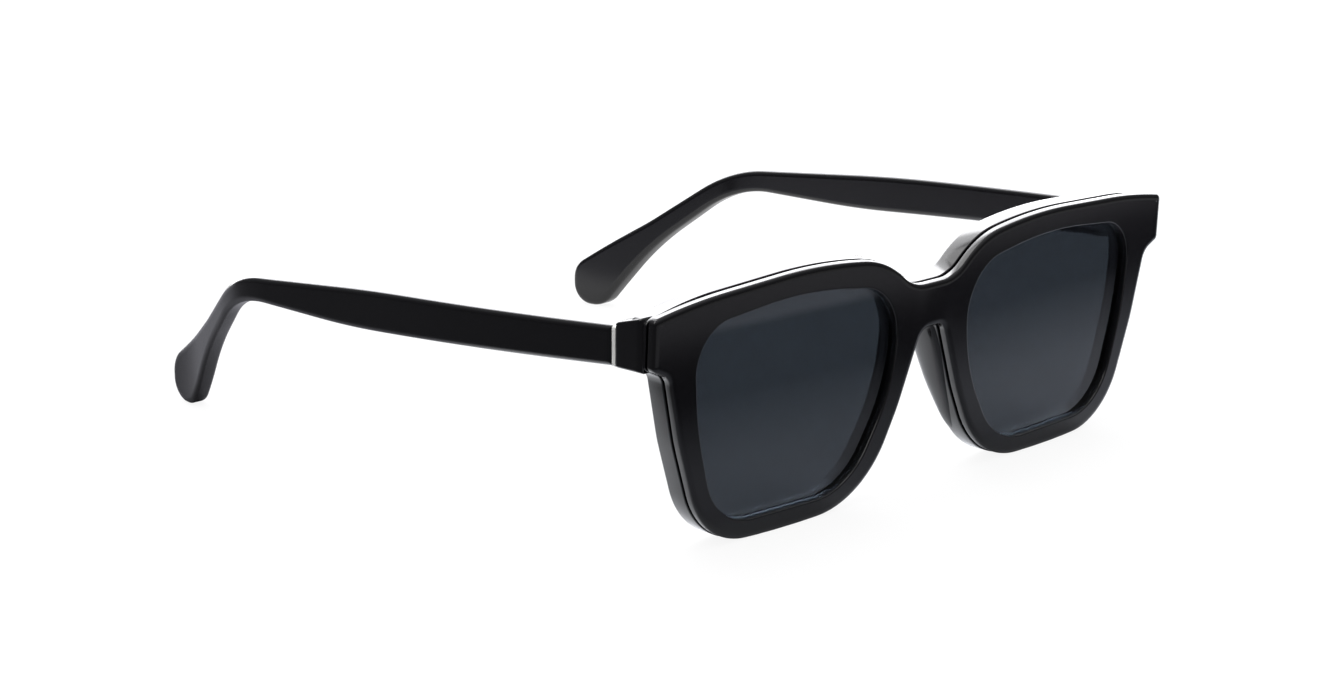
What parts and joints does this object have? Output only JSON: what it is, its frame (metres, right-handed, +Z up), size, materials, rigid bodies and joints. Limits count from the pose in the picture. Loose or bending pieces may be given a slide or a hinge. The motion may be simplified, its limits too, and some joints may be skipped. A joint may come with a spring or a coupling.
{
  "type": "eyeglasses with clip-on sunglasses",
  "caption": "Full-rim acetate eyeglasses with folding temples and a magnetic clip-on front plate that holds tinted lenses.",
  "frame": {"origin": "on the ground under the middle of the open glasses' bounding box, as they stand on both rims and both temple tips", "axes": "+X to the wearer's left, +Y from the lenses back to the ears, +Z up"},
  "size_m": [0.151, 0.1508, 0.048],
  "materials": {
    "frame_acetate": "polished black acetate",
    "clear_lens": "clear plastic lens",
    "pad_acetate": "polished black acetate, glued on",
    "hinge_steel": "satin nickel silver",
    "screw_steel": "turned steel",
    "magnet_plate": "bright nickel plating",
    "temple_acetate": "polished black acetate",
    "core_steel": "drawn steel wire",
    "bright_plate": "satin pale metal",
    "clip_black": "polished black plastic",
    "tinted_lens": "dark grey tinted plastic lens"
  },
  "bodies": {
    "front": {"front_frame": "frame_acetate", "demo_lens_right": "clear_lens", "demo_lens_left": "clear_lens", "nose_pad_right": "pad_acetate", "nose_pad_left": "pad_acetate", "front_leaf_right": "hinge_steel", "front_leaf_left": "hinge_steel", "hinge_screw_right": "screw_steel", "hinge_screw_left": "screw_steel", "frame_magnet_right": "magnet_plate", "frame_magnet_left": "magnet_plate"},
    "right_temple": {"temple_right": "temple_acetate", "core_wire_right": "core_steel", "temple_leaf_right": "hinge_steel", "end_plate_right": "bright_plate"},
    "left_temple": {"temple_left": "temple_acetate", "core_wire_left": "core_steel", "temple_leaf_left": "hinge_steel", "end_plate_left": "bright_plate"},
    "clip_on": {"clip_frame": "clip_black", "clip_lens_right": "tinted_lens", "clip_lens_left": "tinted_lens", "clip_magnet_right": "magnet_plate", "clip_magnet_left": "magnet_plate"}
  },
  "joints": [
    {"name": "left_temple_fold", "type": "hinge", "parent": "front", "child": "left_temple", "pos_m": [0.0676, -0.06338, 0.03825], "axis": [0, 0, 1], "range_deg": [0, 86]},
    {"name": "right_temple_fold", "type": "hinge", "parent": "front", "child": "right_temple", "pos_m": [-0.0676, -0.06338, 0.03825], "axis": [0, 0, -1], "range_deg": [0, 75]},
    {"name": "clip_on_slide", "type": "slide", "parent": "front", "child": "clip_on", "axis": [0, -0.999, -0.0436], "range_m": [0, 0.04]}
  ]
}
